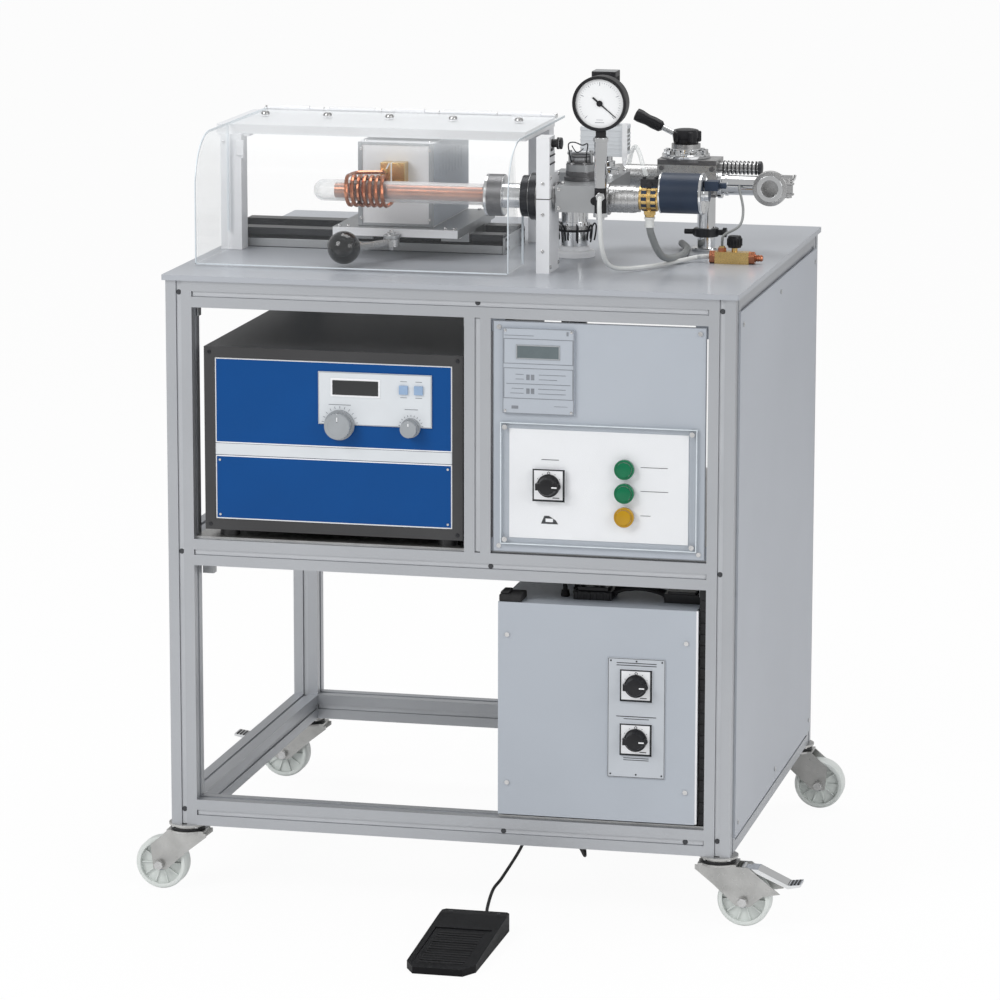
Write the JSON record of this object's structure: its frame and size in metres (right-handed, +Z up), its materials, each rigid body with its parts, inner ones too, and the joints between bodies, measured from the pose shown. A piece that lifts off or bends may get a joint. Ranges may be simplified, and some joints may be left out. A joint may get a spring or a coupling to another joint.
{
  "type": "induction melting furnace",
  "caption": "Mobile induction melting furnace: coil and quartz tube under a clear hood, generator, vacuum line and control panels on a profile cart.",
  "frame": {"origin": "on the floor, in the middle of the outline without the free cable", "axes": "+Z up, the control panels face -Y, +X to the right of the panels as seen from the front"},
  "size_m": [1.07, 1.087, 1.244],
  "materials": {
    "frame_alu": "anodised satin",
    "table_grey": "semi-gloss",
    "panel_grey": "satin",
    "zinc_plate": "zinc plated",
    "case_bronze": "metallic dark grey",
    "panel_blue": "satin",
    "light_plastic": "matt",
    "grey_plastic": "matt",
    "key_blue": "matt",
    "label_white": "matt",
    "clear_acrylic": "clear",
    "screw_steel": "bright",
    "black_plastic": "matt",
    "green_plastic": "gloss",
    "yellow_plastic": "gloss",
    "pump_paint": "satin",
    "chrome_plate": "bright",
    "nylon": "satin",
    "white_paint": "satin",
    "black_steel": "satin",
    "machined_alu": "machined",
    "beige_paint": "satin",
    "copper": "polished copper",
    "lever_black": "gloss",
    "quartz": "clear",
    "steel": "turned",
    "navy_plastic": "satin",
    "brass": "machined",
    "hose_pvc": "satin",
    "cable_rubber": "matt"
  },
  "bodies": {
    "cart": {"frame_uprights": "frame_alu", "frame_rails": "frame_alu", "table_top": "table_grey", "side_panel": "panel_grey", "shelf_plates": "zinc_plate", "generator_case": "case_bronze", "generator_panels": "panel_blue", "control_inset": "light_plastic", "control_panel": "panel_grey", "label_plates": "label_white", "clear_cover": "clear_acrylic", "cover_screws": "screw_steel", "switch_plates": "label_white", "switch_cabinet": "panel_grey", "vacuum_pump": "pump_paint", "caster_heads": "zinc_plate", "hood_frame": "white_paint", "slide_rails": "black_steel", "crucible_tube": "copper", "quartz_tube": "quartz", "tube_stand": "white_paint", "vacuum_block": "machined_alu", "pipe_line": "steel", "solenoid_valve": "navy_plastic", "gauge_case": "black_plastic", "brass_manifold": "brass", "hoses": "hose_pvc", "foot_base": "black_plastic", "cable_run": "cable_rubber", "cable_coil": "cable_rubber", "cable_rise": "cable_rubber"},
    "shield": {"hood_shield": "clear_acrylic"},
    "carriage": {"carriage": "machined_alu", "output_box": "beige_paint", "induction_coil": "copper"},
    "clamp_lever": {"clamp_lever": "lever_black"},
    "power_knob": {"power_knob": "grey_plastic"},
    "timer_knob": {"timer_knob": "grey_plastic"},
    "left_key": {"left_key": "key_blue"},
    "right_key": {"right_key": "key_blue"},
    "main_switch": {"main_switch": "black_plastic"},
    "upper_switch": {"upper_switch": "black_plastic"},
    "lower_switch": {"lower_switch": "black_plastic"},
    "top_button": {"top_button": "green_plastic"},
    "middle_button": {"middle_button": "green_plastic"},
    "low_button": {"low_button": "yellow_plastic"},
    "gauge_needle": {"gauge_needle": "black_plastic"},
    "valve_lever": {"valve_lever": "black_plastic"},
    "manifold_knob": {"manifold_knob": "black_plastic"},
    "foot_treadle": {"foot_treadle": "black_plastic"},
    "brake_front_right": {"brake_front_right": "chrome_plate"},
    "brake_rear_left": {"brake_rear_left": "chrome_plate"},
    "fork_front_left": {"fork_front_left": "zinc_plate"},
    "wheel_front_left": {"wheel_front_left": "nylon"},
    "fork_front_right": {"fork_front_right": "zinc_plate"},
    "wheel_front_right": {"wheel_front_right": "nylon"},
    "fork_rear_left": {"fork_rear_left": "zinc_plate"},
    "wheel_rear_left": {"wheel_rear_left": "nylon"},
    "fork_rear_right": {"fork_rear_right": "zinc_plate"},
    "wheel_rear_right": {"wheel_rear_right": "nylon"}
  },
  "joints": [
    {"name": "swivel_front_left", "type": "hinge", "parent": "cart", "child": "fork_front_left", "pos_m": [-0.41, -0.1855, 0.093], "axis": [0, 0, 1], "continuous": true},
    {"name": "roll_front_left", "type": "hinge", "parent": "fork_front_left", "child": "wheel_front_left", "pos_m": [-0.45, -0.1855, 0.04], "axis": [0, 1, 0], "continuous": true},
    {"name": "swivel_front_right", "type": "hinge", "parent": "cart", "child": "fork_front_right", "pos_m": [0.41, -0.1855, 0.093], "axis": [0, 0, 1], "continuous": true},
    {"name": "roll_front_right", "type": "hinge", "parent": "fork_front_right", "child": "wheel_front_right", "pos_m": [0.45, -0.1855, 0.04], "axis": [0, 1, 0], "continuous": true},
    {"name": "swivel_rear_left", "type": "hinge", "parent": "cart", "child": "fork_rear_left", "pos_m": [-0.41, 0.5145, 0.093], "axis": [0, 0, 1], "continuous": true},
    {"name": "roll_rear_left", "type": "hinge", "parent": "fork_rear_left", "child": "wheel_rear_left", "pos_m": [-0.45, 0.5145, 0.04], "axis": [0, 1, 0], "continuous": true},
    {"name": "swivel_rear_right", "type": "hinge", "parent": "cart", "child": "fork_rear_right", "pos_m": [0.41, 0.5145, 0.093], "axis": [0, 0, 1], "continuous": true},
    {"name": "roll_rear_right", "type": "hinge", "parent": "fork_rear_right", "child": "wheel_rear_right", "pos_m": [0.45, 0.5145, 0.04], "axis": [0, 1, 0], "continuous": true},
    {"name": "press_brake_front_right", "type": "hinge", "parent": "fork_front_right", "child": "brake_front_right", "pos_m": [0.448, -0.1855, 0.087], "axis": [0, 1, 0], "range_deg": [0, 7]},
    {"name": "press_brake_rear_left", "type": "hinge", "parent": "fork_rear_left", "child": "brake_rear_left", "pos_m": [-0.448, 0.5145, 0.087], "axis": [0, -1, 0], "range_deg": [0, 7]},
    {"name": "open_shield", "type": "hinge", "parent": "cart", "child": "shield", "pos_m": [-0.171, 0.2925, 1.1415], "axis": [-1, 0, 0], "range_deg": [0, 95]},
    {"name": "move_carriage", "type": "slide", "parent": "cart", "child": "carriage", "axis": [1, 0, 0], "range_m": [-0.12, 0.05]},
    {"name": "turn_clamp_lever", "type": "hinge", "parent": "carriage", "child": "clamp_lever", "pos_m": [-0.14, 0.0165, 0.974], "axis": [0, 0, 1], "range_deg": [-45, 0]},
    {"name": "turn_power_knob", "type": "hinge", "parent": "cart", "child": "power_knob", "pos_m": [-0.165, -0.2055, 0.73], "axis": [0, -1, 0], "range_deg": [-60, 240]},
    {"name": "turn_timer_knob", "type": "hinge", "parent": "cart", "child": "timer_knob", "pos_m": [-0.0565, -0.2055, 0.73], "axis": [0, -1, 0], "range_deg": [-60, 240]},
    {"name": "press_left_key", "type": "slide", "parent": "cart", "child": "left_key", "axis": [0, 1, 0], "range_m": [0, 0.0015], "stiffness_N_per_m": 800},
    {"name": "press_right_key", "type": "slide", "parent": "cart", "child": "right_key", "axis": [0, 1, 0], "range_m": [0, 0.0015], "stiffness_N_per_m": 800},
    {"name": "turn_main_switch", "type": "hinge", "parent": "cart", "child": "main_switch", "pos_m": [0.155, -0.2105, 0.655], "axis": [0, -1, 0], "range_deg": [0, 90]},
    {"name": "turn_upper_switch", "type": "hinge", "parent": "cart", "child": "upper_switch", "pos_m": [0.287, -0.2105, 0.35915], "axis": [0, -1, 0], "range_deg": [0, 90]},
    {"name": "turn_lower_switch", "type": "hinge", "parent": "cart", "child": "lower_switch", "pos_m": [0.287, -0.2105, 0.27715], "axis": [0, -1, 0], "range_deg": [0, 90]},
    {"name": "press_top_button", "type": "slide", "parent": "cart", "child": "top_button", "axis": [0, 1, 0], "range_m": [0, 0.004], "stiffness_N_per_m": 900},
    {"name": "press_middle_button", "type": "slide", "parent": "cart", "child": "middle_button", "axis": [0, 1, 0], "range_m": [0, 0.004], "stiffness_N_per_m": 900},
    {"name": "press_low_button", "type": "slide", "parent": "cart", "child": "low_button", "axis": [0, 1, 0], "range_m": [0, 0.004], "stiffness_N_per_m": 900},
    {"name": "move_needle", "type": "hinge", "parent": "cart", "child": "gauge_needle", "pos_m": [0.201, -0.0805, 1.204], "axis": [0, -1, 0], "range_deg": [-5, 265]},
    {"name": "turn_valve_lever", "type": "hinge", "parent": "cart", "child": "valve_lever", "pos_m": [0.27, 0.2425, 1.111], "axis": [0, 0, 1], "range_deg": [0, 90]},
    {"name": "turn_manifold_knob", "type": "hinge", "parent": "cart", "child": "manifold_knob", "pos_m": [0.372, 0.1035, 0.977], "axis": [0, 0, 1], "range_deg": [-360, 720]},
    {"name": "press_treadle", "type": "hinge", "parent": "cart", "child": "foot_treadle", "pos_m": [0.067, -0.528, 0.00945], "axis": [-1, 0, 0], "range_deg": [0, 2.2], "stiffness_Nm_per_rad": 10, "springref_deg": -2.86}
  ]
}
